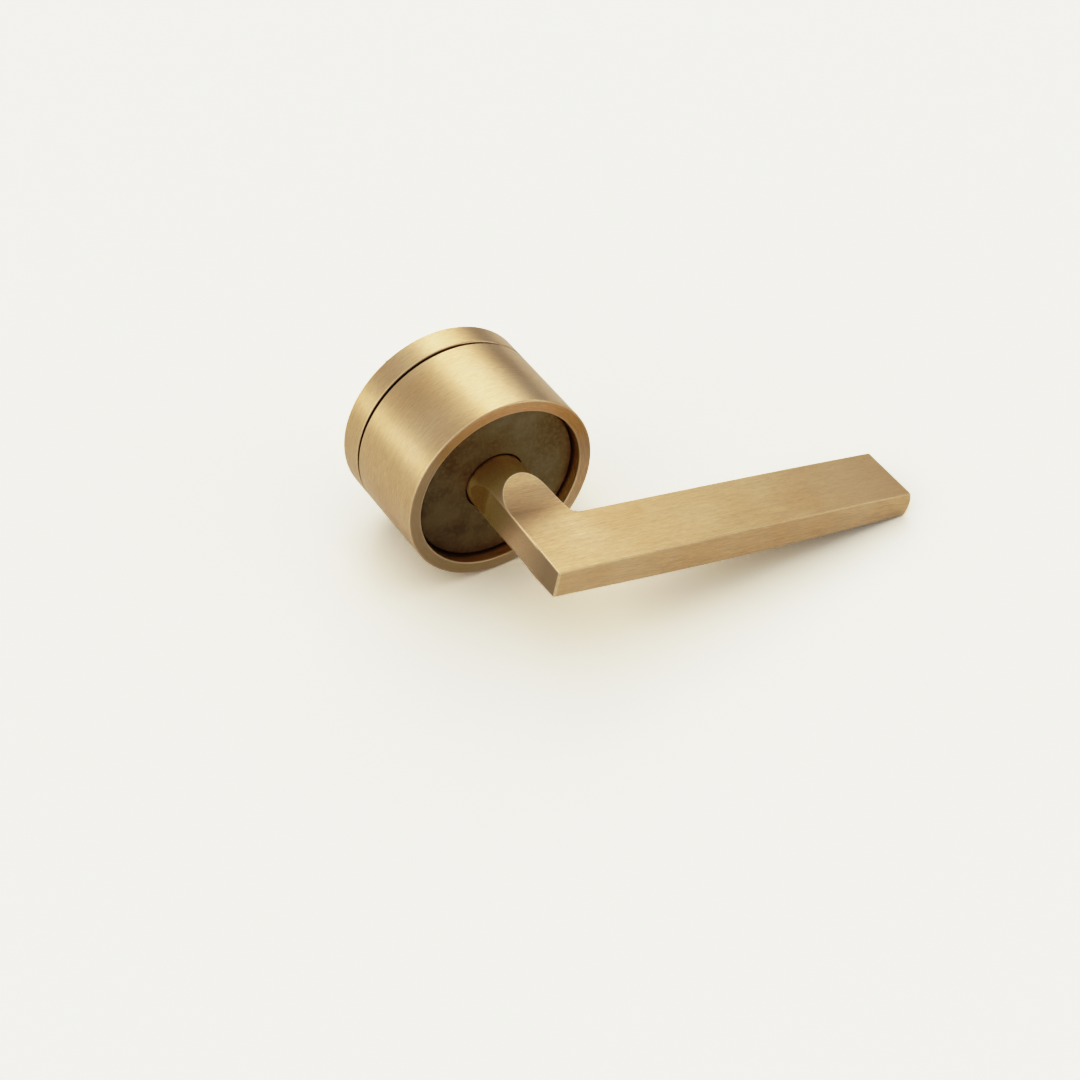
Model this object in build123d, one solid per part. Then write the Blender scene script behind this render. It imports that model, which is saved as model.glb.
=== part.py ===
from build123d import *
import os
from math import cos, radians, sin

# Lever door handle on a deep round rose.
# Frame: the door face is the plane y = 0 and the room side is -Y, +Z is up,
# the spindle turns on the Y axis and the grip points along +X at rest.
# Every size is in millimetres and every angle in degrees. Depths (rear, front,
# depth) are measured out from the door face, so they run along -Y.

# Driving dimensions: the rose
ROSE_R = 30.0
BASE_DEPTH = 8.0
SHADOW_GAP = 0.9
DRUM_FRONT = 38.55
RIM_INNER_R = 26.2
RIM_CHAMFER = 0.2
PLATE_FRONT = 34.8
PLATE_THICKNESS = 3.0
EDGE_BREAK = 0.4

# Driving dimensions: the lever
NECK_R = 9.03
NECK_FLARE_START = 37.0
NECK_FLARE_END = 76.0
NECK_FLARE = 0.048
TONGUE_Y = 55.0
TONGUE_R = 14.6
GRIP_FRONT = 82.2
GRIP_REAR = 59.6
GRIP_REAR_TIP = 61.3
HEEL_X = -8.6
HEEL_NECK_X = -7.9
HEEL_CORNER = 2.0
TIP_X = 117.45
TIP_R = 8.3
INNER_CORNER_R = 3.3
INNER_CORNER_X = 10.1
LEVER_EDGE = 0.4

# Driving dimensions: the turn, the spindle and the fixing
TURN = 45.0
SPINDLE_SIDE = 8.0
SPINDLE_FRONT = 18.0
SPINDLE_TAIL = 24.0
POST_CENTRES = 38.0
POST_R = 4.0
POST_LENGTH = 8.0
POST_THREAD_R = 1.65

# Clearances and allowances
RUNNING_GAP = 0.05
LOOSE_GAP = 0.3
SEAT_GAP = 0.1
PRESS_GAP = 0.01
THREAD_GAP = 0.02
CUT_PAST = 1.0
LONG = 200.0
NEAR = 0.01
BELOW = 180.0

# The base, its gasket and the spacer
GASKET_INNER_R = 25.5
GASKET_OUTER_R = 28.5
GASKET_DEPTH = 0.8
SPACER_R = ROSE_R - 1.4
REAR_BORE_R = 12.5
REAR_BORE_DEPTH = 3.5
POST_SEAT = 5.0
POST_BORE_DEPTH = 10.0
POST_CHAMFER = 0.5

# The face plate and the seal round the neck
PLATE_R = RIM_INNER_R - SEAT_GAP
PLATE_STEP = 0.6
PLATE_STEP_DEPTH = 1.2
PLATE_BORE_R = 9.35
SEAL_R = 11.0
SEAL_REAR = 32.2
SEAL_FRONT = 34.0

# The spring housing and its screws
HOUSING_R = 25.6
HOUSING_INNER_R = 23.4
HOUSING_WALL_REAR = 26.0
HOUSING_FRONT = 31.6
SCREW_CIRCLE = 21.5
SCREW_ANGLES = (30.0, 150.0, 210.0, 330.0)
SCREW_R = 1.5
SCREW_BOSS_R = 2.9
SCREW_TIP = 22.0
SCREW_HEAD_R = 2.75
SCREW_HEAD_DEPTH = 2.6
SCREW_HEAD_REAR = 0.6
SCREW_SOCKET = 2.5
SCREW_SOCKET_DEPTH = 2.0
SET_SCREW_R = 2.0
SET_SCREW_DEPTH = 15.0
SET_SCREW_BITE = 1.2
SET_SCREW_SINK = 0.4
SMALL_SOCKET = 2.0
SMALL_SOCKET_DEPTH = 2.0

# The bearings, the slip washer, the clip and the coned washer
HUB_R = 7.0
REAR_BUSH_R = 9.0
REAR_FLANGE_R = 12.0
REAR_FLANGE = 1.2
SLIP_WASHER_R = 11.5
FRONT_BUSH_R = 11.5
FRONT_FLANGE_R = 13.5
FRONT_FLANGE = 1.0
CLIP_REAR = 1.5
CLIP_THICKNESS = 1.0
CLIP_GROOVE_R = 6.4
CLIP_R = 9.6
CLIP_MOUTH = 7.0
CLIP_EAR_CIRCLE = 9.4
CLIP_EAR_ANGLE = 31.0
CLIP_EAR_R = 1.7
CLIP_EAR_HOLE_R = 0.8
CONE_R = 11.0
CONE_THICKNESS = 0.4

# The hub shaft, the key and the pins that turn with it
HUB_REAR = 1.0
HUB_FRONT = 40.0
HUB_CHAMFER = 0.4
SQUARE_GAP = 0.1
SQUARE_EXTRA = 0.5
SPINDLE_CHAMFER = 0.8
KEY_WIDTH = 3.0
KEY_INNER = 6.0
KEY_OUTER = 8.4
GRUB_R = 2.0
GRUB_DEPTH = 13.0
GRUB_ANGLE = 0.0
GRUB_SINK = 0.6
CROSS_PIN_R = 1.5
CROSS_PIN_DEPTH = 21.0

# The stop cam and the two stops
CAM_REAR = 10.0
CAM_FRONT = 16.0
CAM_R = 12.0
LUG_R = 17.3
LUG_HALF_ANGLE = 12.0
LUG_REST_ANGLE = 157.5
FINGER_CIRCLE = 15.9
FINGER_ANGLE = LUG_REST_ANGLE
FINGER_R = 1.2
FINGER_FRONT = 25.0
STOP_PIN_R = 1.8
STOP_PIN_CIRCLE = 15.0
STOP_PIN_ANGLE = 7.2
STOP_PIN_SEAT = 3.5

# The return spring and its anchor
SPRING_WIRE_R = 0.8
SPRING_MEAN_R = 13.4
SPRING_REAR = 18.0
SPRING_TURNS = 3.0
SPRING_PITCH = 1.8
SPRING_LEG_REACH = 20.0
SPRING_LEG_OFFSET = 8.2
ANCHOR_R = 1.5
ANCHOR_CIRCLE = 19.0
ANCHOR_ANGLE = 60.0
ANCHOR_FRONT = 23.0

# The lever's secondary shape
NECK_REAR_GAP = 0.3
BLOCK_REAR = 11.0
BLOCK_HALF = 14.0
TONGUE_RISE = 9.0
TONGUE_MIDDLE_ANGLE = 30.0
CORNER_LEAN = 0.65
HEEL_START_X = HEEL_NECK_X + 0.5
HEEL_START_Y = TONGUE_Y + 7.0
HEEL_END_X = HEEL_X - 0.4
HEEL_END_Y = TONGUE_Y + 21.5
FLAT_FULL_Y = 44.5
FLAT_RUNOUT_R = 25.0
FLAT_RUNOUT_ANGLE = 24.0
FLAT_CLEAR = 20.0
SLAB_HALF = 20.0
TIP_FLAT = 3.0

# Slices across the grip: x, then z of the top at the front and at the rear,
# then z of the underside at the front and at the rear.
GRIP_SECTIONS = (
    (-12.0, 3.95, 4.5, -4.2, -5.6),
    (20.0, 4.22, 4.6, -4.95, -5.7),
    (58.0, 4.38, 4.7, -5.36, -5.6),
    (92.0, 4.24, 4.6, -4.8, -5.0),
    (125.0, 3.85, 4.2, -3.75, -4.0),
)


def facing_room(depth, x=0.0, z=0.0):
    """The plane at one depth that faces the room: its x is the part's +X and its y is +Z."""
    return Plane(origin=(x, -depth, z), x_dir=(1, 0, 0), z_dir=(0, -1, 0))


def rod(radius, rear, front, x=0.0, z=0.0):
    """A solid cylinder along Y, from depth rear to depth front."""
    return extrude(facing_room(rear, x, z) * Circle(radius), front - rear)


def ring(inner, outer, rear, front):
    """A flat ring about the spindle axis."""
    return rod(outer, rear, front) - rod(inner, rear - CUT_PAST, front + CUT_PAST)


def around(radius, angle):
    """The x and z of a point at an angle turned from straight up towards the grip."""
    return radius * sin(radians(angle)), radius * cos(radians(angle))


def radial_rod(radius, inner, outer, depth, angle):
    """A solid cylinder square to the axis, from radius inner to radius outer."""
    x, z = around(1.0, angle)
    plane = Plane(origin=(x * inner, -depth, z * inner), x_dir=(0, 1, 0), z_dir=(x, 0, z))
    return extrude(plane * Circle(radius), outer - inner)


def radial_hexagon(across_flats, inner, outer, depth, angle):
    """A hexagon socket cut from radius outer down to radius inner."""
    x, z = around(1.0, angle)
    plane = Plane(origin=(x * inner, -depth, z * inner), x_dir=(0, 1, 0), z_dir=(x, 0, z))
    return extrude(plane * RegularPolygon(across_flats / 2, 6, major_radius=False), outer - inner)


def circle_edges(shape, radius, depth):
    """The edges of one round about the axis, at one depth."""
    found = []
    for edge in shape.edges().filter_by(GeomType.CIRCLE):
        if abs(edge.radius - radius) < NEAR and abs(edge.center().Y + depth) < NEAR:
            found.append(edge)
    return found


# The rose

def base_rose():
    """The back disc: it lies on the door and carries everything else."""
    body = rod(ROSE_R, 0, BASE_DEPTH)
    body = fillet(circle_edges(body, ROSE_R, BASE_DEPTH) + circle_edges(body, ROSE_R, 0), EDGE_BREAK)
    body -= rod(REAR_BORE_R, -CUT_PAST, REAR_BORE_DEPTH)
    body -= rod(REAR_BUSH_R, 0, BASE_DEPTH + CUT_PAST)
    body -= ring(GASKET_INNER_R, GASKET_OUTER_R, -CUT_PAST, GASKET_DEPTH)
    for angle in SCREW_ANGLES:
        x, z = around(SCREW_CIRCLE, angle)
        body -= rod(SCREW_R, -CUT_PAST, BASE_DEPTH + CUT_PAST, x, z)
        body -= rod(SCREW_HEAD_R, -CUT_PAST, SCREW_HEAD_DEPTH, x, z)
    for x in (-POST_CENTRES / 2, POST_CENTRES / 2):
        body -= rod(POST_R, -CUT_PAST, POST_SEAT, x)
    for angle in stop_pin_angles():
        x, z = around(STOP_PIN_CIRCLE, angle)
        body -= rod(STOP_PIN_R, BASE_DEPTH - STOP_PIN_SEAT, BASE_DEPTH + CUT_PAST, x, z)
    x, z = around(ANCHOR_CIRCLE, ANCHOR_ANGLE)
    body -= rod(ANCHOR_R, BASE_DEPTH - STOP_PIN_SEAT, BASE_DEPTH + CUT_PAST, x, z)
    return body


def back_gasket():
    """The soft ring in the base's groove, flush with the door face."""
    return ring(GASKET_INNER_R, GASKET_OUTER_R, 0, GASKET_DEPTH)


def spacer_ring():
    """The dark spacer that leaves the shadow line between base and drum."""
    return ring(HOUSING_R + LOOSE_GAP, SPACER_R, BASE_DEPTH, BASE_DEPTH + SHADOW_GAP)


def drum_sleeve():
    """The outer drum: a tube with a broken front rim and a set screw hole below."""
    rear = BASE_DEPTH + SHADOW_GAP
    body = ring(RIM_INNER_R, ROSE_R, rear, DRUM_FRONT)
    outer = circle_edges(body, ROSE_R, DRUM_FRONT) + circle_edges(body, ROSE_R, rear)
    body = fillet(outer, EDGE_BREAK)
    body = chamfer(circle_edges(body, RIM_INNER_R, DRUM_FRONT), RIM_CHAMFER)
    return body - radial_rod(SET_SCREW_R, RIM_INNER_R - CUT_PAST, ROSE_R + CUT_PAST, SET_SCREW_DEPTH, BELOW)


def sleeve_set_screw():
    """The socket set screw that holds the drum on the housing, from underneath."""
    top = ROSE_R - SET_SCREW_SINK
    screw = radial_rod(SET_SCREW_R - THREAD_GAP, HOUSING_R - SET_SCREW_BITE, top, SET_SCREW_DEPTH, BELOW)
    return screw - radial_hexagon(SMALL_SOCKET, top - SMALL_SOCKET_DEPTH, ROSE_R, SET_SCREW_DEPTH, BELOW)


def face_plate():
    """The patinated disc set back inside the rim: a stepped edge, and a groove for the neck seal."""
    body = ring(PLATE_BORE_R, PLATE_R, PLATE_FRONT - PLATE_THICKNESS, PLATE_FRONT)
    body -= ring(PLATE_R - PLATE_STEP, PLATE_R + CUT_PAST, PLATE_FRONT - PLATE_STEP_DEPTH, PLATE_FRONT)
    return body - rod(SEAL_R, SEAL_REAR, SEAL_FRONT)


def neck_seal():
    """The rubber ring that keeps dust out of the bush."""
    return ring(NECK_R + RUNNING_GAP, SEAL_R, SEAL_REAR, SEAL_FRONT)


def spring_housing():
    """The cup inside the drum: it carries the front bush and covers the spring."""
    body = rod(HOUSING_R, BASE_DEPTH, HOUSING_FRONT)
    body -= rod(HOUSING_INNER_R, BASE_DEPTH - CUT_PAST, HOUSING_WALL_REAR)
    for angle in SCREW_ANGLES:
        x, z = around(SCREW_CIRCLE, angle)
        body += rod(SCREW_BOSS_R, BASE_DEPTH, HOUSING_WALL_REAR + CUT_PAST, x, z)
        body -= rod(SCREW_R, BASE_DEPTH - CUT_PAST, SCREW_TIP, x, z)
    body -= rod(FRONT_BUSH_R, HOUSING_WALL_REAR - CUT_PAST, HOUSING_FRONT + CUT_PAST)
    bottom = HOUSING_R - SET_SCREW_BITE
    return body - radial_rod(SET_SCREW_R, bottom, HOUSING_R + CUT_PAST, SET_SCREW_DEPTH, BELOW)


def housing_screws():
    """Four cap screws from behind, through the base into the housing's bosses."""
    screws = []
    for angle in SCREW_ANGLES:
        x, z = around(SCREW_CIRCLE, angle)
        screw = rod(SCREW_R, SCREW_HEAD_DEPTH, SCREW_TIP - CUT_PAST, x, z)
        screw += rod(SCREW_HEAD_R - RUNNING_GAP, SCREW_HEAD_REAR, SCREW_HEAD_DEPTH, x, z)
        hexagon = RegularPolygon(SCREW_SOCKET / 2, 6, major_radius=False)
        socket = extrude(facing_room(0, x, z) * hexagon, SCREW_SOCKET_DEPTH)
        screws.append(screw - socket)
    return Compound(screws)


def fixing_posts():
    """Two tapped posts that take the through-bolts from the other side of the door."""
    posts = []
    for x in (-POST_CENTRES / 2, POST_CENTRES / 2):
        post = rod(POST_R, -POST_LENGTH, POST_SEAT, x)
        post = chamfer(post.edges().filter_by(GeomType.CIRCLE).sort_by(Axis.Y)[-1], POST_CHAMFER)
        post -= rod(POST_THREAD_R, -POST_LENGTH - CUT_PAST, POST_BORE_DEPTH - POST_LENGTH, x)
        posts.append(post)
    return Compound(posts)


# The bearings

def rear_bush():
    """The flanged plain bearing in the base."""
    body = rod(REAR_BUSH_R, REAR_BORE_DEPTH, BASE_DEPTH)
    body += rod(REAR_FLANGE_R, BASE_DEPTH, BASE_DEPTH + REAR_FLANGE)
    return body - rod(HUB_R + RUNNING_GAP, 0, CAM_REAR)


def front_bush():
    """The flanged plain bearing in the housing's front wall, around the lever's neck."""
    body = rod(FRONT_BUSH_R, HOUSING_WALL_REAR, HOUSING_FRONT - SEAT_GAP)
    body += rod(FRONT_FLANGE_R, HOUSING_WALL_REAR - FRONT_FLANGE, HOUSING_WALL_REAR)
    return body - rod(NECK_R + RUNNING_GAP, HOUSING_WALL_REAR - FRONT_FLANGE - CUT_PAST, HOUSING_FRONT)


def thrust_washer():
    """The slip washer between the rear bush and the stop cam."""
    rear = BASE_DEPTH + REAR_FLANGE + RUNNING_GAP
    return ring(HUB_R + LOOSE_GAP, SLIP_WASHER_R, rear, CAM_REAR - RUNNING_GAP)


def retaining_clip():
    """The open snap ring in the hub's groove, behind the base."""
    body = ring(CLIP_GROOVE_R, CLIP_R, CLIP_REAR, CLIP_REAR + CLIP_THICKNESS)
    body -= extrude(facing_room(CLIP_REAR, 0, -CLIP_R) * Rectangle(CLIP_MOUTH, CLIP_R), CLIP_THICKNESS)
    for side in (-1, 1):
        x, z = around(CLIP_EAR_CIRCLE, BELOW + side * CLIP_EAR_ANGLE)
        body += rod(CLIP_EAR_R, CLIP_REAR, CLIP_REAR + CLIP_THICKNESS, x, z)
        body -= rod(CLIP_EAR_HOLE_R, CLIP_REAR - CUT_PAST, CLIP_REAR + CLIP_THICKNESS + CUT_PAST, x, z)
    return body


def spring_washer():
    """The coned washer that takes up end play between the clip and the rear bush."""
    rear = CLIP_REAR + CLIP_THICKNESS + RUNNING_GAP
    front = REAR_BORE_DEPTH - RUNNING_GAP
    inner = HUB_R + LOOSE_GAP
    points = [
        (inner, -rear),
        (CONE_R, -front + CONE_THICKNESS),
        (CONE_R, -front),
        (inner, -rear - CONE_THICKNESS),
    ]
    section = Polyline(*points, close=True)
    return revolve(make_face(section), Axis.Y, 360)


# The turning group inside the rose

def hub_shaft():
    """The steel tube inside the neck: square hole behind, clip groove, keyway and cross hole."""
    body = rod(HUB_R, HUB_REAR, HUB_FRONT)
    body = chamfer(circle_edges(body, HUB_R, HUB_FRONT) + circle_edges(body, HUB_R, HUB_REAR), HUB_CHAMFER)
    body -= ring(CLIP_GROOVE_R, HUB_R + CUT_PAST, CLIP_REAR, CLIP_REAR + CLIP_THICKNESS)
    body -= square_bar(SPINDLE_SIDE + SQUARE_GAP, HUB_REAR - CUT_PAST, SPINDLE_FRONT + SQUARE_EXTRA)
    body -= key_block()
    body -= radial_rod(GRUB_R, 0, HUB_R + CUT_PAST, GRUB_DEPTH, GRUB_ANGLE)
    return body - cross_pin_rod(CROSS_PIN_R)


def square_bar(side, rear, front):
    """A square bar along the axis."""
    return extrude(facing_room(rear) * Rectangle(side, side), front - rear)


def half_spindle():
    """The square bar that goes into the lock, with broken corners at its tail."""
    body = square_bar(SPINDLE_SIDE, -SPINDLE_TAIL, SPINDLE_FRONT)
    return chamfer(body.faces().sort_by(Axis.Y)[-1].edges(), SPINDLE_CHAMFER)


def key_block():
    """The space of the drive key, on the grip side of the hub."""
    height = KEY_OUTER - KEY_INNER
    middle = Location(((KEY_OUTER + KEY_INNER) / 2, -(CAM_REAR + CAM_FRONT) / 2, 0))
    return middle * Box(height, CAM_FRONT - CAM_REAR, KEY_WIDTH)


def drive_key():
    """The parallel key that locks the stop cam to the hub."""
    return key_block()


def stop_cam():
    """The collar on the hub, with the lug that meets the stops and pushes the spring."""
    body = rod(CAM_R, CAM_REAR, CAM_FRONT)
    x1, z1 = around(LONG, LUG_REST_ANGLE - LUG_HALF_ANGLE)
    x2, z2 = around(LONG, LUG_REST_ANGLE + LUG_HALF_ANGLE)
    wedge_plan = make_face(Polyline((0, 0), (x1, z1), (x2, z2), close=True))
    wedge = extrude(facing_room(CAM_REAR) * wedge_plan, CAM_FRONT - CAM_REAR)
    body += wedge & rod(LUG_R, CAM_REAR, CAM_FRONT)
    x, z = around(FINGER_CIRCLE, FINGER_ANGLE)
    body += rod(FINGER_R, CAM_FRONT - CUT_PAST, FINGER_FRONT, x, z)
    body -= rod(HUB_R + PRESS_GAP, CAM_REAR - CUT_PAST, CAM_FRONT + CUT_PAST)
    body -= key_block()
    return body - radial_rod(GRUB_R, 0, LUG_R, GRUB_DEPTH, GRUB_ANGLE)


def spindle_grub_screw():
    """The socket set screw through cam and hub, down on a flat of the spindle."""
    top = CAM_R - GRUB_SINK
    screw = radial_rod(GRUB_R - THREAD_GAP, SPINDLE_SIDE / 2, top, GRUB_DEPTH, GRUB_ANGLE)
    return screw - radial_hexagon(SMALL_SOCKET, top - SMALL_SOCKET_DEPTH, CAM_R, GRUB_DEPTH, GRUB_ANGLE)


def cross_pin_rod(radius):
    """A cylinder across the neck, upright at rest."""
    return radial_rod(radius, -NECK_R + SEAT_GAP, NECK_R - SEAT_GAP, CROSS_PIN_DEPTH, 0)


def neck_cross_pin():
    """The pin that ties the lever's neck to the hub shaft."""
    return cross_pin_rod(CROSS_PIN_R)


# The stops and the return spring

def stop_pin_angles():
    """Where the two stops stand: the lug meets one at rest and the other at full turn."""
    reach = LUG_HALF_ANGLE + STOP_PIN_ANGLE
    return LUG_REST_ANGLE - reach, LUG_REST_ANGLE + TURN + reach


def stop_pins():
    """Two pins pressed into the base."""
    pins = []
    for angle in stop_pin_angles():
        x, z = around(STOP_PIN_CIRCLE, angle)
        pins.append(rod(STOP_PIN_R, BASE_DEPTH - STOP_PIN_SEAT, CAM_FRONT, x, z))
    return Compound(pins)


def spring_anchor():
    """The post in the base that holds the spring's fixed leg."""
    x, z = around(ANCHOR_CIRCLE, ANCHOR_ANGLE)
    return rod(ANCHOR_R, BASE_DEPTH - STOP_PIN_SEAT, ANCHOR_FRONT, x, z)


def spring_leg(depth, leg_angle, reach):
    """A straight leg out from the coil, with a ball at the bend."""
    x, z = around(SPRING_MEAN_R, leg_angle)
    leg = radial_rod(SPRING_WIRE_R, SPRING_MEAN_R, reach, depth, leg_angle)
    return leg + Location((x, -depth, z)) * Sphere(SPRING_WIRE_R)


def return_spring():
    """The torsion spring: a close coil round the neck with one leg on the anchor, one on the cam."""
    start_angle = ANCHOR_ANGLE + SPRING_LEG_OFFSET
    end_angle = FINGER_ANGLE + SPRING_LEG_OFFSET
    turned = SPRING_TURNS * 360 + end_angle - start_angle
    height = SPRING_PITCH * turned / 360
    coil_path = Helix(SPRING_PITCH, height, SPRING_MEAN_R)
    start = coil_path @ 0
    section = Plane(origin=start, z_dir=coil_path % 0) * Circle(SPRING_WIRE_R)
    coil = sweep(section, path=coil_path, is_frenet=True)
    lie_down = Location((0, -SPRING_REAR, 0)) * Rotation(90, 0, 0)
    spin = Rotation(0, start_angle - 90, 0)
    coil = spin * (lie_down * coil)
    fixed_leg = spring_leg(SPRING_REAR, start_angle, SPRING_LEG_REACH)
    moving_leg = spring_leg(SPRING_REAR + height, end_angle, SPRING_LEG_REACH)
    return coil + fixed_leg + moving_leg


# The lever

def thickness_section(x, top_front, top_rear, bottom_front, bottom_rear):
    """One slice across the grip: flat top and underside that rise in a curve to the neck."""
    front = -GRIP_FRONT - CUT_PAST
    foot = -TONGUE_Y
    reach = (TONGUE_RISE * (2 * TONGUE_R - TONGUE_RISE)) ** 0.5
    middle_rise = TONGUE_R * (1 - cos(radians(TONGUE_MIDDLE_ANGLE)))
    middle_reach = TONGUE_R * sin(radians(TONGUE_MIDDLE_ANGLE))
    crest = foot + reach + CUT_PAST
    top = ThreePointArc(
        (foot, top_rear),
        (foot + middle_reach, top_rear + middle_rise),
        (foot + reach, top_rear + TONGUE_RISE),
    )
    bottom = ThreePointArc(
        (foot + reach, bottom_rear - TONGUE_RISE),
        (foot + middle_reach, bottom_rear - middle_rise),
        (foot, bottom_rear),
    )
    outline = [
        Line((front, bottom_front), (front, top_front)),
        Line((front, top_front), (foot, top_rear)),
        top,
        Line(top @ 1, (crest, BLOCK_HALF)),
        Line((crest, BLOCK_HALF), (-BLOCK_REAR, BLOCK_HALF)),
        Line((-BLOCK_REAR, BLOCK_HALF), (-BLOCK_REAR, -BLOCK_HALF)),
        Line((-BLOCK_REAR, -BLOCK_HALF), (crest, -BLOCK_HALF)),
        Line((crest, -BLOCK_HALF), bottom @ 0),
        bottom,
        Line((foot, bottom_rear), (front, bottom_front)),
    ]
    plane = Plane(origin=(x, 0, 0), x_dir=(0, 1, 0), z_dir=(1, 0, 0))
    return plane * make_face(Wire(outline))


def lever_plan():
    """The grip and heel from above, with the fillet in the inner corner."""
    points = [
        (HEEL_X - CUT_PAST, -GRIP_FRONT),
        (TIP_X + CUT_PAST, -GRIP_FRONT),
        (TIP_X + CUT_PAST, -GRIP_REAR_TIP),
        (INNER_CORNER_X, -GRIP_REAR),
        (INNER_CORNER_X - CORNER_LEAN, -TONGUE_Y + CUT_PAST),
        (0, -TONGUE_Y + CUT_PAST),
        (HEEL_START_X, -HEEL_START_Y),
        (HEEL_END_X, -HEEL_END_Y),
        (HEEL_X - CUT_PAST, -HEEL_END_Y),
    ]
    outline = make_face(Polyline(*points, close=True))
    corner = outline.vertices().sort_by_distance((INNER_CORNER_X, -GRIP_REAR, 0))[0]
    return fillet(corner, INNER_CORNER_R)


def neck_body():
    """The round neck: straight inside the rose, then widening towards the grip side."""
    shift = NECK_FLARE * (NECK_FLARE_END - NECK_FLARE_START)
    narrow = facing_room(NECK_FLARE_START) * Circle(NECK_R)
    wide = facing_room(NECK_FLARE_END, shift) * Circle(NECK_R + shift)
    return rod(NECK_R, CAM_FRONT + NECK_REAR_GAP, NECK_FLARE_START) + loft([narrow, wide], ruled=True)


def side_cut():
    """What the flat on the heel's side takes off, with a curved run-out towards the rose."""
    corner_y = -GRIP_FRONT + LEVER_EDGE
    slope = (HEEL_NECK_X - HEEL_X) / (GRIP_FRONT - FLAT_FULL_Y)
    flat_end = (HEEL_NECK_X, -FLAT_FULL_Y)
    runout = JernArc(start=flat_end, tangent=(slope, 1), radius=FLAT_RUNOUT_R, arc_size=FLAT_RUNOUT_ANGLE)
    outside = HEEL_X - FLAT_CLEAR
    top = (runout @ 1).Y
    outline = [
        Line((HEEL_X + HEEL_CORNER, corner_y - HEEL_CORNER), (HEEL_X, corner_y)),
        Line((HEEL_X, corner_y), flat_end),
        runout,
        Line(runout @ 1, (outside, top)),
        Line((outside, top), (outside, corner_y - HEEL_CORNER)),
        Line((outside, corner_y - HEEL_CORNER), (HEEL_X + HEEL_CORNER, corner_y - HEEL_CORNER)),
    ]
    return extrude(Plane.XY.offset(-SLAB_HALF) * make_face(Wire(outline)), 2 * SLAB_HALF)


def tip_shape():
    """The grip from the front with the tip's gentle bow."""
    bow = Location((TIP_X - TIP_R, 0)) * Circle(TIP_R)
    body = Location((TIP_X - TIP_R - LONG / 2, 0)) * Rectangle(LONG, 2 * SLAB_HALF)
    return extrude(facing_room(0) * (bow + body), LONG)


def grip_bar(thickness):
    """The flat grip with its edges broken, still square at the heel's side."""
    slab = extrude(Plane.XY.offset(-SLAB_HALF) * lever_plan(), 2 * SLAB_HALF)
    bar = slab & thickness & tip_shape()
    broken = []
    for edge in bar.edges():
        middle = edge @ 0.5
        along = middle.X > INNER_CORNER_X and abs(middle.Z) > TIP_FLAT and middle.Y < -TONGUE_Y
        if along or middle.X > TIP_X - CUT_PAST:
            broken.append(edge)
    return fillet(broken, LEVER_EDGE)


def lever():
    """Neck and grip in one piece, bored for the hub shaft and the cross pin."""
    thickness = loft([thickness_section(*values) for values in GRIP_SECTIONS])
    body = grip_bar(thickness) + (neck_body() & thickness)
    body -= side_cut()
    body -= rod(HUB_R + PRESS_GAP, 0, HUB_FRONT + SQUARE_EXTRA)
    return body - cross_pin_rod(CROSS_PIN_R)


os.makedirs("parts", exist_ok=True)
PARTS = {
    "base_rose": base_rose,
    "back_gasket": back_gasket,
    "spacer_ring": spacer_ring,
    "drum_sleeve": drum_sleeve,
    "sleeve_set_screw": sleeve_set_screw,
    "face_plate": face_plate,
    "neck_seal": neck_seal,
    "spring_housing": spring_housing,
    "housing_screws": housing_screws,
    "fixing_posts": fixing_posts,
    "rear_bush": rear_bush,
    "front_bush": front_bush,
    "thrust_washer": thrust_washer,
    "retaining_clip": retaining_clip,
    "spring_washer": spring_washer,
    "hub_shaft": hub_shaft,
    "half_spindle": half_spindle,
    "drive_key": drive_key,
    "stop_cam": stop_cam,
    "spindle_grub_screw": spindle_grub_screw,
    "neck_cross_pin": neck_cross_pin,
    "stop_pins": stop_pins,
    "spring_anchor": spring_anchor,
    "return_spring": return_spring,
    "lever": lever,
}
for name, build in PARTS.items():
    shape = build()
    shape.label = name
    export_step(shape, f"parts/{name}.step")
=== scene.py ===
import bpy
from math import cos, radians, sin
from mathutils import Matrix, Vector

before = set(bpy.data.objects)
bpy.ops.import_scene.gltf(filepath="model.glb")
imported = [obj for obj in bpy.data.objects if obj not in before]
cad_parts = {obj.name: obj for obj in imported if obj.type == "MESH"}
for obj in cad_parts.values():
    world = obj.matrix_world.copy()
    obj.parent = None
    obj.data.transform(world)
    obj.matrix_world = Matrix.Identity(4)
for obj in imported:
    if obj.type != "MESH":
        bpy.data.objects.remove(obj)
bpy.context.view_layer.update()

# The drum lies on its side on the floor and the grip's tip touches it, so the
# floor is tilted about Y by this much in the part's own frame.
FLOOR_TILT = 0.2251
ROSE_RADIUS = 0.030
FLOOR_SIZE = 0.9
FLOOR_COLOUR = (0.92, 0.92, 0.90, 1)
FLOOR_ROUGHNESS = 0.9

UP = Matrix.Rotation(-FLOOR_TILT, 3, "Y") @ Vector((0, 0, 1))

# Camera
CAMERA_PLACE = Vector((-0.4103, -0.5504, 0.4546))
CAMERA_LOOK = Vector((0.5223, 0.6236, -0.5817))
CAMERA_LENS = 93.62
CAMERA_SENSOR = 36
CAMERA_CLIP = (0.01, 20)

# What the backdrop comes out as before the film curve, and the film curve itself:
# a short toe, a straight middle and a long shoulder.
BACKDROP = (1.258, 1.218, 1.060)
FILM_WHITE = 1.6
FILM_CURVE = (
    (0.0, 0.0), (0.04, 0.009), (0.072, 0.036), (0.1, 0.066), (0.18, 0.14), (0.324, 0.31),
    (0.45, 0.47), (0.79, 0.76), (1.1, 0.865), (1.25, 0.893), (1.6, 0.95),
)


def turned(look, up):
    """The rotation of a camera that looks along look with its top towards up."""
    back = -look.normalized()
    right = up.cross(back).normalized()
    top = back.cross(right)
    return Matrix((right, top, back)).transposed().to_quaternion()


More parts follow.
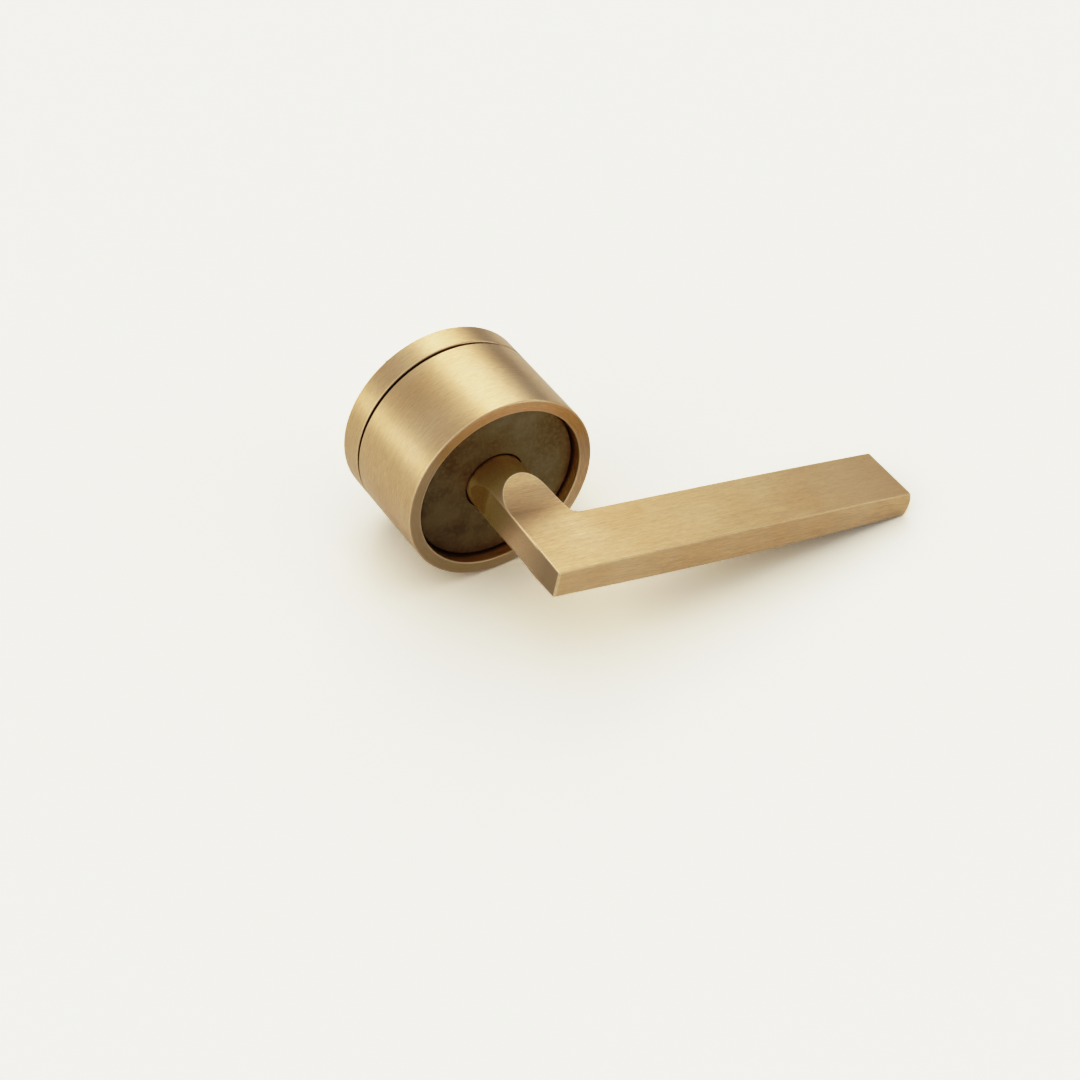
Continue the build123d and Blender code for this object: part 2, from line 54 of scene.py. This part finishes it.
def make_camera():
    """A long lens at the viewing angle, level with the tilted floor."""
    camera = bpy.data.objects.new("camera", bpy.data.cameras.new("camera"))
    bpy.context.scene.collection.objects.link(camera)
    camera.data.lens = CAMERA_LENS
    camera.data.sensor_width = CAMERA_SENSOR
    camera.data.clip_start, camera.data.clip_end = CAMERA_CLIP
    camera.location = CAMERA_PLACE
    camera.rotation_mode = "QUATERNION"
    camera.rotation_quaternion = turned(CAMERA_LOOK, UP)
    bpy.context.scene.camera = camera


# Node helpers

class Nodes:
    """A small helper round one material's node tree."""

    def __init__(self, name):
        self.material = bpy.data.materials.new(name)
        self.material.use_nodes = True
        self.tree = self.material.node_tree
        self.shader = self.tree.nodes["Principled BSDF"]

    def add(self, kind, **settings):
        """Adds a node with its properties set."""
        node = self.tree.nodes.new(kind)
        for name, value in settings.items():
            setattr(node, name, value)
        return node

    def put(self, value, socket):
        """Sets a socket to a number or colour, or links another node's output to it."""
        if isinstance(value, bpy.types.NodeSocket):
            self.tree.links.new(value, socket)
        else:
            socket.default_value = value

    def math(self, operation, a, b=0.0, c=0.0):
        node = self.add("ShaderNodeMath", operation=operation)
        for value, socket in zip((a, b, c), node.inputs):
            self.put(value, socket)
        return node.outputs[0]

    def place(self):
        return self.add("ShaderNodeTexCoord").outputs["Object"]

    def split(self, vector):
        node = self.add("ShaderNodeSeparateXYZ")
        self.put(vector, node.inputs[0])
        return node.outputs

    def join(self, x, y, z):
        node = self.add("ShaderNodeCombineXYZ")
        for value, socket in zip((x, y, z), node.inputs):
            self.put(value, socket)
        return node.outputs[0]

    def stretch(self, vector, scale):
        node = self.add("ShaderNodeVectorMath", operation="MULTIPLY")
        self.put(vector, node.inputs[0])
        node.inputs[1].default_value = scale
        return node.outputs[0]

    def noise(self, vector, scale=1.0, detail=2.0, roughness=0.5):
        node = self.add("ShaderNodeTexNoise")
        self.put(vector, node.inputs["Vector"])
        node.inputs["Scale"].default_value = scale
        node.inputs["Detail"].default_value = detail
        node.inputs["Roughness"].default_value = roughness
        return node.outputs["Fac"]

    def ramp(self, value, low, high, to_low=0.0, to_high=1.0):
        node = self.add("ShaderNodeMapRange")
        self.put(value, node.inputs["Value"])
        node.inputs["From Min"].default_value = low
        node.inputs["From Max"].default_value = high
        node.inputs["To Min"].default_value = to_low
        node.inputs["To Max"].default_value = to_high
        return node.outputs["Result"]

    def mix(self, amount, a, b, blend="MIX"):
        node = self.add("ShaderNodeMix", data_type="RGBA", blend_type=blend)
        self.put(amount, node.inputs["Factor"])
        self.put(a if isinstance(a, bpy.types.NodeSocket) else (*a, 1), node.inputs["A"])
        self.put(b if isinstance(b, bpy.types.NodeSocket) else (*b, 1), node.inputs["B"])
        return node.outputs["Result"]

    def bump(self, height, strength, distance, normal=None):
        node = self.add("ShaderNodeBump")
        node.inputs["Strength"].default_value = strength
        node.inputs["Distance"].default_value = distance
        self.put(height, node.inputs["Height"])
        if normal is not None:
            self.put(normal, node.inputs["Normal"])
        return node.outputs["Normal"]

    def rounded(self, radius):
        """The normal with sharp edges rounded off by radius, in metres."""
        node = self.add("ShaderNodeBevel", samples=6)
        node.inputs["Radius"].default_value = radius
        return node.outputs["Normal"]

    def edge(self, radius):
        """1 on the flats and less close to an edge."""
        shape = self.add("ShaderNodeNewGeometry").outputs["Normal"]
        dot = self.add("ShaderNodeVectorMath", operation="DOT_PRODUCT")
        self.put(self.rounded(radius), dot.inputs[0])
        self.put(shape, dot.inputs[1])
        return dot.outputs["Value"]


# Brushed brass

BRASS = (0.70, 0.50, 0.275)
BRASS_PALE = (0.76, 0.58, 0.36)
# Paler brass for the edges: part wear, part painted highlight.
BRASS_WORN_AND_HIGHLIT = (0.95, 0.80, 0.58)
# The darker brown that the painted shade on the drum's rim and on the lever blends towards.
PAINTED_SHADE_BROWN = tuple(part * 0.55 for part in BRASS)
FINE_GRAIN = (420, 8000, 8000)
BROAD_GRAIN = (90, 2600, 2600)
FINE_SHARE = 0.7
BRASS_ROUGHNESS = 0.31
BRASS_WEAR_AND_HIGHLIGHT_WIDTH = 0.0008
BRASS_BREAK = 0.00012

# The dark plate's two tones and its pale specks
PLATE_DARK = (0.24, 0.185, 0.125)
PLATE_LIGHT = (0.37, 0.295, 0.205)
PLATE_SPECK = (0.46, 0.37, 0.26)


def around_axis(nodes):
    """Coordinates that run round the spindle axis, along it, and out from it, in metres."""
    x, y, z = nodes.split(nodes.place())
    angle = nodes.math("ARCTAN2", x, z)
    radius = nodes.math("SQRT", nodes.math("ADD", nodes.math("MULTIPLY", x, x), nodes.math("MULTIPLY", z, z)))
    return nodes.math("MULTIPLY", angle, ROSE_RADIUS), y, radius


def brushed_brass(name, grain_place, brush_direction, painted_shade, satin=None):
    """Satin brass: hairlines stretched along the grain, soft stains, painted shade where the given mask says,
    and paler edges that are part wear and part painted highlight.
    """
    nodes = Nodes(name)
    vector = grain_place(nodes)
    fine = nodes.noise(nodes.stretch(vector, FINE_GRAIN), detail=3, roughness=0.6)
    broad = nodes.noise(nodes.stretch(vector, BROAD_GRAIN), detail=2)
    cloud = nodes.noise(nodes.place(), scale=55, detail=3)
    tone = nodes.mix(nodes.ramp(cloud, 0.3, 0.7), BRASS, BRASS_PALE)
    fine_part = nodes.math("MULTIPLY", fine, FINE_SHARE)
    broad_part = nodes.math("MULTIPLY", broad, 1 - FINE_SHARE)
    grain = nodes.math("ADD", fine_part, broad_part)
    streaks = nodes.ramp(grain, 0.34, 0.66, 0.82, 1.14)
    tone = nodes.mix(1.0, tone, nodes.join(streaks, streaks, streaks), blend="MULTIPLY")
    # Painted shade: blends towards the darker brown where the given mask says.
    tone = nodes.mix(painted_shade(nodes), tone, PAINTED_SHADE_BROWN)
    # Paler edges: part wear, part painted highlight along the brass edges.
    pale_edge = nodes.ramp(nodes.edge(BRASS_WEAR_AND_HIGHLIGHT_WIDTH), 0.92, 0.998, 1.0, 0.0)
    tone = nodes.mix(nodes.math("MULTIPLY", pale_edge, 0.75), tone, BRASS_WORN_AND_HIGHLIT)
    shader = nodes.shader
    nodes.put(tone, shader.inputs["Base Color"])
    shader.inputs["Metallic"].default_value = 0.95
    rough = nodes.ramp(grain, 0.3, 0.7, BRASS_ROUGHNESS + 0.05, BRASS_ROUGHNESS - 0.05)
    if satin is not None:
        rough = nodes.math("ADD", rough, satin(nodes))
    nodes.put(rough, shader.inputs["Roughness"])
    shader.inputs["Anisotropic"].default_value = 0.7
    shader.inputs["Anisotropic Rotation"].default_value = 0.25
    nodes.put(brush_direction(nodes), shader.inputs["Tangent"])
    nodes.put(nodes.bump(grain, 0.12, 0.00005, nodes.rounded(BRASS_BREAK)), shader.inputs["Normal"])
    return nodes.material


def drum_grain(nodes):
    """Hairlines round the drum: long round the axis, fine along it and outwards."""
    around, along, out = around_axis(nodes)
    return nodes.join(around, along, out)


def drum_brush(nodes):
    """The direction of the drum's hairlines."""
    return nodes.add("ShaderNodeTangent", direction_type="RADIAL", axis="Y").outputs[0]


def lever_grain(nodes):
    """Hairlines along the grip."""
    return nodes.place()


def lever_brush(nodes):
    """The direction of the grip's hairlines, which turns with it."""
    turn = nodes.add(
        "ShaderNodeVectorTransform", vector_type="VECTOR", convert_from="OBJECT", convert_to="WORLD",
    )
    turn.inputs[0].default_value = (1, 0, 0)
    return turn.outputs[0]


def drum_rim_painted_shade(nodes):
    """Painted shade on the drum: only its front rim goes darker brown, and more so at the lower left."""
    x, _, z = nodes.split(nodes.place())
    front = nodes.ramp(nodes.split(nodes.add("ShaderNodeTexCoord").outputs["Normal"])[1], -0.9, -0.98)
    low = nodes.ramp(nodes.math("ADD", x, nodes.math("MULTIPLY", z, 0.4)), -0.024, 0.004, 0.6, 0.0)
    return nodes.math("MULTIPLY", front, low)


def lever_satin(nodes):
    """How much rougher the lever is: only its neck, and most on the neck's flat side."""
    neck = nodes.ramp(nodes.split(nodes.place())[1], -0.058, -0.044)
    facing = nodes.split(nodes.add("ShaderNodeTexCoord").outputs["Normal"])[0]
    side = nodes.ramp(facing, -0.9, -0.98, 0.05, 0.22)
    return nodes.math("MULTIPLY", neck, side)


def lever_painted_shade(nodes):
    """Painted shade on the lever: darker brown on the heel's side, on the top more so towards the tip, and on
    the round neck towards the plate.
    """
    x, _, z = nodes.split(nodes.add("ShaderNodeTexCoord").outputs["Normal"])
    along, depth, _ = nodes.split(nodes.place())
    side = nodes.math("MULTIPLY", nodes.ramp(x, -0.9, -0.98), nodes.ramp(depth, -0.056, -0.076))
    top = nodes.math("MULTIPLY", nodes.ramp(z, 0.8, 0.95), nodes.ramp(along, 0.0, 0.11, 0.06, 0.50))
    neck = nodes.ramp(depth, -0.050, -0.042, 0.0, 0.25)
    round_part = nodes.math("MULTIPLY", nodes.ramp(x, -0.98, -0.9), neck)
    return nodes.math("ADD", nodes.math("ADD", side, top), round_part)


def aged_plate():
    """Dark, mottled patination on the set-back face plate, with painted shade towards the lower left and
    painted light towards the upper right.
    """
    nodes = Nodes("aged_plate")
    cloud = nodes.noise(nodes.place(), scale=90, detail=5, roughness=0.6)
    speck = nodes.noise(nodes.place(), scale=900, detail=2)
    tone = nodes.mix(nodes.ramp(cloud, 0.35, 0.65), PLATE_DARK, PLATE_LIGHT)
    tone = nodes.mix(nodes.ramp(speck, 0.45, 0.75, 0.0, 0.35), tone, PLATE_SPECK)
    x, _, z = nodes.split(nodes.place())
    # Painted shade and light: the plate's colour goes darker to the lower left and brighter to the upper
    # right.
    painted_light_and_shade = nodes.ramp(nodes.math("ADD", x, nodes.math("MULTIPLY", z, 0.5)), -0.024, 0.024, 0.62, 1.15)
    tone = nodes.mix(1.0, tone, nodes.join(painted_light_and_shade, painted_light_and_shade, painted_light_and_shade), blend="MULTIPLY")
    nodes.put(tone, nodes.shader.inputs["Base Color"])
    nodes.shader.inputs["Metallic"].default_value = 0.75
    nodes.put(nodes.ramp(cloud, 0.3, 0.7, 0.50, 0.66), nodes.shader.inputs["Roughness"])
    nodes.put(nodes.bump(speck, 0.15, 0.0001, nodes.rounded(0.0003)), nodes.shader.inputs["Normal"])
    return nodes.material


def machined(name, colour, roughness, metallic=1.0, scale=(400, 400, 5000)):
    """Turned or cast metal, or moulded plastic: a little tone change, tool marks and a fine bump."""
    nodes = Nodes(name)
    marks = nodes.noise(nodes.stretch(nodes.place(), scale), detail=2)
    cloud = nodes.noise(nodes.place(), scale=120, detail=3)
    dark = tuple(part * 0.78 for part in colour)
    tone = nodes.mix(nodes.ramp(cloud, 0.3, 0.7), dark, colour)
    pale_edge = nodes.ramp(nodes.edge(0.0004), 0.90, 0.995, 0.6, 0.0)
    bright = tuple(min(1.0, part * 1.35 + 0.02) for part in colour)
    nodes.put(nodes.mix(pale_edge, tone, bright), nodes.shader.inputs["Base Color"])
    nodes.shader.inputs["Metallic"].default_value = metallic
    rough = nodes.ramp(marks, 0.3, 0.7, roughness - 0.06, roughness + 0.06)
    nodes.put(rough, nodes.shader.inputs["Roughness"])
    nodes.put(nodes.bump(marks, 0.10, 0.00005, nodes.rounded(0.0002)), nodes.shader.inputs["Normal"])
    return nodes.material


def paint_nodes():
    """Gives every CAD node its material."""
    drum = brushed_brass("drum_brass", drum_grain, drum_brush, drum_rim_painted_shade)
    grip = brushed_brass("lever_brass", lever_grain, lever_brush, lever_painted_shade, lever_satin)
    rubber = machined("black_rubber", (0.02, 0.02, 0.02), 0.7, metallic=0.0)
    spacer = machined("black_spacer", (0.012, 0.010, 0.008), 0.6, metallic=0.0)
    zinc = machined("zinc_casting", (0.46, 0.47, 0.48), 0.5)
    steel = machined("turned_steel", (0.52, 0.52, 0.53), 0.33)
    black = machined("black_steel", (0.06, 0.06, 0.065), 0.4)
    wire = machined("spring_steel", (0.36, 0.36, 0.37), 0.3)
    acetal = machined("acetal", (0.78, 0.76, 0.70), 0.35, metallic=0.0)
    plated = machined("zinc_plate", (0.62, 0.63, 0.65), 0.3)
    paint = {
        drum: ["base_rose", "drum_sleeve"],
        grip: ["lever"],
        aged_plate(): ["face_plate"],
        rubber: ["back_gasket", "neck_seal"],
        spacer: ["spacer_ring"],
        zinc: ["spring_housing"],
        steel: [
            "fixing_posts", "hub_shaft", "drive_key", "stop_cam",
            "neck_cross_pin", "stop_pins", "spring_anchor",
        ],
        black: ["sleeve_set_screw", "housing_screws", "retaining_clip", "spindle_grub_screw"],
        wire: ["spring_washer", "return_spring"],
        acetal: ["rear_bush", "front_bush", "thrust_washer"],
        plated: ["half_spindle"],
    }
    for material, names in paint.items():
        for name in names:
            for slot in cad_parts[name].material_slots:
                slot.material = material


# Stage

def drop_under_lever(floor):
    """Lowers the floor to the lowest point of the lever, when that is below the floor."""
    group = bpy.data.node_groups.new("drop_under_lever", "GeometryNodeTree")
    group.interface.new_socket("Geometry", in_out="INPUT", socket_type="NodeSocketGeometry")
    group.interface.new_socket("Geometry", in_out="OUTPUT", socket_type="NodeSocketGeometry")
    entry = group.nodes.new("NodeGroupInput")
    leave = group.nodes.new("NodeGroupOutput")
    lever = group.nodes.new("GeometryNodeObjectInfo")
    lever.transform_space = "RELATIVE"
    lever.inputs["Object"].default_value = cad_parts["lever"]
    box = group.nodes.new("GeometryNodeBoundBox")
    corner = group.nodes.new("ShaderNodeSeparateXYZ")
    lowest = group.nodes.new("ShaderNodeMath")
    lowest.operation = "MINIMUM"
    lowest.inputs[1].default_value = 0.0
    offset = group.nodes.new("ShaderNodeCombineXYZ")
    move = group.nodes.new("GeometryNodeTransform")
    join = group.links.new
    join(lever.outputs["Geometry"], box.inputs["Geometry"])
    join(box.outputs["Min"], corner.inputs[0])
    join(corner.outputs["Z"], lowest.inputs[0])
    join(lowest.outputs[0], offset.inputs["Z"])
    join(entry.outputs["Geometry"], move.inputs["Geometry"])
    join(offset.outputs[0], move.inputs["Translation"])
    join(move.outputs["Geometry"], leave.inputs["Geometry"])
    floor.modifiers.new("drop", "NODES").node_group = group


# Soft lights, as patches of a studio dome: height above the floor and turn from the camera's
# own heading, in degrees, then spread in degrees and strength.
SOFT_LIGHTS = (
    (42, -9, 9, 1.75),
    (30, 8, 10, 1.32),
    (8, -80, 7, 1.25),
    (78, -40, 24, 0.50),
    (37, -63, 12, -0.28),
    (-3, 17, 12, -0.30),
    (36, 172, 20, -0.45),
    (20, -128, 26, 0.85),
    (30, 98, 12, 0.80),
)

# The even light between the patches, and how bright an open floor of white comes out under the
# whole dome, found by rendering it. The backdrop's colour is divided by it to make the floor's.
ROOM = 0.63
FLOOR_LIGHT = 0.77

# How much the painted contact shade darkens the floor's colour right next to the part, and how far that
# reaches, in metres
CONTACT_SHADE = (0.58, 0.63, 0.72)
CONTACT_REACH = 0.020


def heading(height, turn):
    """A direction from its height above the floor and its turn from the camera's heading."""
    ahead = (CAMERA_LOOK - CAMERA_LOOK.dot(UP) * UP).normalized()
    aside = ahead.cross(UP)
    flat = cos(radians(turn)) * ahead + sin(radians(turn)) * aside
    return cos(radians(height)) * flat + sin(radians(height)) * UP


def make_floor():
    """A pale floor, as bright as the backdrop where nothing shades it, and clear from below.

    Only the camera sees the matched colour. Light that bounces off the floor sees plain off-white.
    """
    mesh = bpy.data.meshes.new("floor")
    half = FLOOR_SIZE / 2
    corners = [(-half, -half, 0), (half, -half, 0), (half, half, 0), (-half, half, 0)]
    mesh.from_pydata(corners, [], [(0, 1, 2, 3)])
    floor = bpy.data.objects.new("floor", mesh)
    bpy.context.scene.collection.objects.link(floor)
    floor.rotation_mode = "QUATERNION"
    floor.rotation_quaternion = Matrix.Rotation(-FLOOR_TILT, 3, "Y").to_quaternion()
    floor.location = -ROSE_RADIUS * UP
    nodes = Nodes("floor")
    nodes.shader.inputs["Base Color"].default_value = FLOOR_COLOUR
    nodes.shader.inputs["Roughness"].default_value = FLOOR_ROUGHNESS
    seen = nodes.add("ShaderNodeBsdfDiffuse")
    open_tone = tuple(part / FLOOR_LIGHT for part in BACKDROP)
    near_tone = tuple(part * shade for part, shade in zip(open_tone, CONTACT_SHADE))
    # Painted contact shade: the floor's colour goes darker where the part is near.
    near = nodes.add("ShaderNodeAmbientOcclusion")
    near.inputs["Distance"].default_value = CONTACT_REACH
    nodes.put(nodes.mix(near.outputs["AO"], near_tone, open_tone), seen.inputs["Color"])
    top = nodes.add("ShaderNodeMixShader")
    nodes.put(nodes.add("ShaderNodeLightPath").outputs["Is Camera Ray"], top.inputs["Fac"])
    nodes.put(nodes.shader.outputs[0], top.inputs[1])
    nodes.put(seen.outputs[0], top.inputs[2])
    side = nodes.add("ShaderNodeMixShader")
    nodes.put(nodes.add("ShaderNodeNewGeometry").outputs["Backfacing"], side.inputs["Fac"])
    nodes.put(top.outputs[0], side.inputs[1])
    nodes.put(nodes.add("ShaderNodeBsdfTransparent").outputs[0], side.inputs[2])
    nodes.put(side.outputs[0], nodes.tree.nodes["Material Output"].inputs["Surface"])
    mesh.materials.append(nodes.material)
    drop_under_lever(floor)


def make_world():
    """The backdrop's plain colour for the camera, and a dome of soft lights for everything else."""
    world = bpy.data.worlds.new("studio")
    bpy.context.scene.world = world
    world.use_nodes = True
    tree = world.node_tree
    seen = tree.nodes["Background"]
    seen.inputs["Color"].default_value = (*BACKDROP, 1)
    direction = tree.nodes.new("ShaderNodeTexCoord").outputs["Generated"]
    total = None
    for height, turn, spread, strength in SOFT_LIGHTS:
        dot = tree.nodes.new("ShaderNodeVectorMath")
        dot.operation = "DOT_PRODUCT"
        dot.inputs[1].default_value = heading(height, turn)
        tree.links.new(direction, dot.inputs[0])
        sharp = tree.nodes.new("ShaderNodeMath")
        sharp.operation = "MULTIPLY_ADD"
        fall = 1 / radians(spread) ** 2
        sharp.inputs[1].default_value = fall
        sharp.inputs[2].default_value = -fall
        tree.links.new(dot.outputs["Value"], sharp.inputs[0])
        lobe = tree.nodes.new("ShaderNodeMath")
        lobe.operation = "EXPONENT"
        tree.links.new(sharp.outputs[0], lobe.inputs[0])
        gather = tree.nodes.new("ShaderNodeMath")
        gather.operation = "MULTIPLY_ADD"
        gather.inputs[1].default_value = strength
        gather.inputs[2].default_value = ROOM
        tree.links.new(lobe.outputs[0], gather.inputs[0])
        if total is not None:
            tree.links.new(total, gather.inputs[2])
        total = gather.outputs[0]
    lit = tree.nodes.new("ShaderNodeBackground")
    tree.links.new(total, lit.inputs["Strength"])
    path = tree.nodes.new("ShaderNodeLightPath")
    mix = tree.nodes.new("ShaderNodeMixShader")
    tree.links.new(path.outputs["Is Camera Ray"], mix.inputs["Fac"])
    tree.links.new(lit.outputs[0], mix.inputs[1])
    tree.links.new(seen.outputs[0], mix.inputs[2])
    tree.links.new(mix.outputs[0], tree.nodes["World Output"].inputs["Surface"])


def set_film():
    """A photographic tone curve over a plain display transform."""
    film = bpy.context.scene.view_settings
    film.view_transform = "Standard"
    film.use_curve_mapping = True
    mapping = film.curve_mapping
    mapping.white_level = (FILM_WHITE,) * 3
    mapping.use_clip = False
    curve = mapping.curves[3]
    while len(curve.points) < len(FILM_CURVE):
        curve.points.new(0.5, 0.5)
    for point, (light, shown) in zip(curve.points, FILM_CURVE):
        point.location = (light / FILM_WHITE, shown)
    mapping.update()


make_camera()
make_floor()
make_world()
set_film()
paint_nodes()
